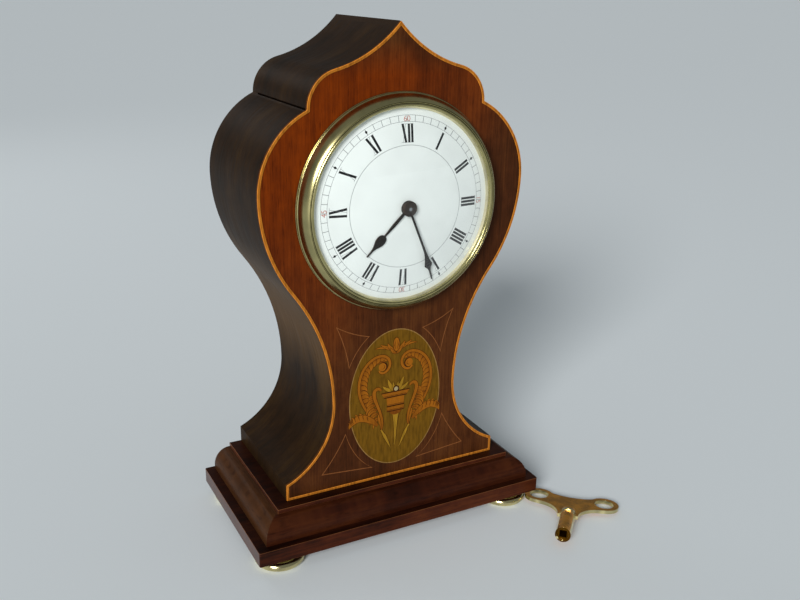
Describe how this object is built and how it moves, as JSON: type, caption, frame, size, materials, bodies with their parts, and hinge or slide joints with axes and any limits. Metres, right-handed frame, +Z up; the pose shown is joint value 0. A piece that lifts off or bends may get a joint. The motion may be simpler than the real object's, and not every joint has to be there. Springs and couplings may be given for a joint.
{
  "type": "balloon clock",
  "caption": "Inlaid mahogany balloon mantel clock on a moulded plinth, with an enamel dial in a brass bezel, a rear-wound movement and a loose winding key.",
  "frame": {"origin": "on the table under the middle of the plinth", "axes": "+Z up, the dial faces -Y, +X to the right as the dial is read"},
  "size_m": [0.2058, 0.1481, 0.2668],
  "materials": {
    "mahogany": "satin",
    "dark_mahogany": "satin",
    "boxwood": "satin",
    "stained_veneer": "satin",
    "motif_veneer": "satin",
    "polished_brass": "polished",
    "plate_brass": "satin",
    "steel": "satin",
    "blued_steel": "satin",
    "nickel": "satin",
    "enamel": "gloss",
    "crystal": "clear"
  },
  "bodies": {
    "clock": {"base_slab": "mahogany", "base_moulding": "dark_mahogany", "base_top": "mahogany", "foot_front_left": "polished_brass", "foot_front_right": "polished_brass", "foot_rear_left": "polished_brass", "foot_rear_right": "polished_brass", "base_screws": "steel", "case_front": "mahogany", "case_side_left": "dark_mahogany", "case_side_right": "dark_mahogany", "case_back": "dark_mahogany", "case_bottom": "dark_mahogany", "edge_stringing": "boxwood", "inlay_lines": "boxwood", "oval_ground": "stained_veneer", "marquetry_motif": "motif_veneer", "bezel": "polished_brass", "bezel_glass": "crystal", "sight_ring": "polished_brass", "dial": "enamel", "dial_pan": "plate_brass", "strap_upper": "plate_brass", "strap_lower": "plate_brass", "strap_screws": "steel", "rear_ring": "polished_brass", "door_hinge_pin": "steel", "front_plate": "plate_brass", "back_plate": "plate_brass", "plate_pillars": "plate_brass", "movement_screws": "steel", "click_spring": "steel", "platform": "nickel", "escape_bridge": "nickel", "balance_cock": "nickel"},
    "hands": {"centre_arbor": "steel", "minute_hand": "blued_steel", "hand_collet": "blued_steel", "setting_knob": "polished_brass"},
    "minute_gear": {"minute_wheel": "plate_brass"},
    "hour_gear": {"hour_wheel": "plate_brass", "hour_hand": "blued_steel"},
    "escape": {"escape_wheel": "plate_brass"},
    "fourth": {"fourth_wheel": "plate_brass"},
    "third": {"third_wheel": "plate_brass"},
    "centre": {"centre_wheel": "plate_brass"},
    "intermediate": {"intermediate_wheel": "plate_brass"},
    "going_barrel": {"barrel": "plate_brass", "barrel_cover": "plate_brass", "mainspring": "steel"},
    "winder": {"barrel_arbor": "steel", "ratchet_wheel": "steel"},
    "click_pawl": {"click": "steel"},
    "balance_wheel": {"balance": "plate_brass", "hairspring": "blued_steel"},
    "pallet_lever": {"lever": "steel"},
    "index": {"regulator_index": "steel"},
    "door": {"rear_door": "polished_brass", "door_knob": "polished_brass"},
    "key": {"winding_key": "polished_brass"}
  },
  "joints": [
    {"name": "hand_set", "type": "hinge", "parent": "clock", "child": "hands", "pos_m": [0, 0, 0.1806], "axis": [0, 1, 0], "continuous": true},
    {"name": "minute_wheel_turn", "type": "hinge", "parent": "clock", "child": "minute_gear", "pos_m": [0.0048, -0.027, 0.17229], "axis": [0, 1, 0], "continuous": true},
    {"name": "hour_wheel_turn", "type": "hinge", "parent": "clock", "child": "hour_gear", "pos_m": [0, -0.03, 0.1806], "axis": [0, 1, 0], "continuous": true},
    {"name": "escape_turn", "type": "hinge", "parent": "clock", "child": "escape", "pos_m": [-0.00167, 0, 0.1988], "axis": [0, 1, 0], "continuous": true},
    {"name": "fourth_turn", "type": "hinge", "parent": "clock", "child": "fourth", "pos_m": [0.00876, -0.0046, 0.196], "axis": [0, 1, 0], "continuous": true},
    {"name": "third_turn", "type": "hinge", "parent": "clock", "child": "third", "pos_m": [0.01269, -0.0096, 0.18522], "axis": [0, 1, 0], "continuous": true},
    {"name": "centre_turn", "type": "hinge", "parent": "clock", "child": "centre", "pos_m": [0, -0.022, 0.1806], "axis": [0, 1, 0], "continuous": true},
    {"name": "intermediate_turn", "type": "hinge", "parent": "clock", "child": "intermediate", "pos_m": [-0.015, -0.019, 0.17873], "axis": [0, 1, 0], "continuous": true},
    {"name": "barrel_turn", "type": "hinge", "parent": "clock", "child": "going_barrel", "pos_m": [-0.00657, -0.01, 0.16256], "axis": [0, 1, 0], "continuous": true},
    {"name": "winding", "type": "hinge", "parent": "clock", "child": "winder", "pos_m": [-0.00657, 0, 0.16256], "axis": [0, 1, 0], "range_deg": [0, 1980]},
    {"name": "click_drop", "type": "hinge", "parent": "clock", "child": "click_pawl", "pos_m": [-0.01713, 0.003, 0.16866], "axis": [0, 1, 0], "range_deg": [-8, 4], "stiffness_Nm_per_rad": 0.0003},
    {"name": "balance_swing", "type": "hinge", "parent": "clock", "child": "balance_wheel", "pos_m": [-0.01586, 0.01, 0.19629], "axis": [0, 1, 0], "range_deg": [-24, 24], "stiffness_Nm_per_rad": 0.0000053},
    {"name": "lever_swing", "type": "hinge", "parent": "clock", "child": "pallet_lever", "pos_m": [-0.00799, 0.005, 0.19768], "axis": [0, 1, 0], "range_deg": [-5, 5]},
    {"name": "index_turn", "type": "hinge", "parent": "clock", "child": "index", "pos_m": [-0.01586, 0.014, 0.19629], "axis": [0, 1, 0], "range_deg": [-25, 25]},
    {"name": "door_swing", "type": "hinge", "parent": "clock", "child": "door", "pos_m": [0.0424, 0.049, 0.1806], "axis": [0, 0, -1], "range_deg": [0, 110]},
    {"name": "key_draw", "type": "slide", "parent": "clock", "child": "key", "axis": [0.7206, -0.6934, 0], "range_m": [0, 0.1]}
  ],
  "couplings": [
    {"joint": "minute_wheel_turn", "follows": "hand_set", "ratio": -0.33333},
    {"joint": "hour_wheel_turn", "follows": "hand_set", "ratio": 0.083333},
    {"joint": "fourth_turn", "follows": "escape_turn", "ratio": -0.125},
    {"joint": "third_turn", "follows": "escape_turn", "ratio": 0.016667},
    {"joint": "centre_turn", "follows": "escape_turn", "ratio": -0.0020833},
    {"joint": "intermediate_turn", "follows": "escape_turn", "ratio": 0.00041667},
    {"joint": "barrel_turn", "follows": "escape_turn", "ratio": -0.000059524},
    {"joint": "lever_swing", "follows": "balance_swing", "ratio": -0.20301}
  ]
}
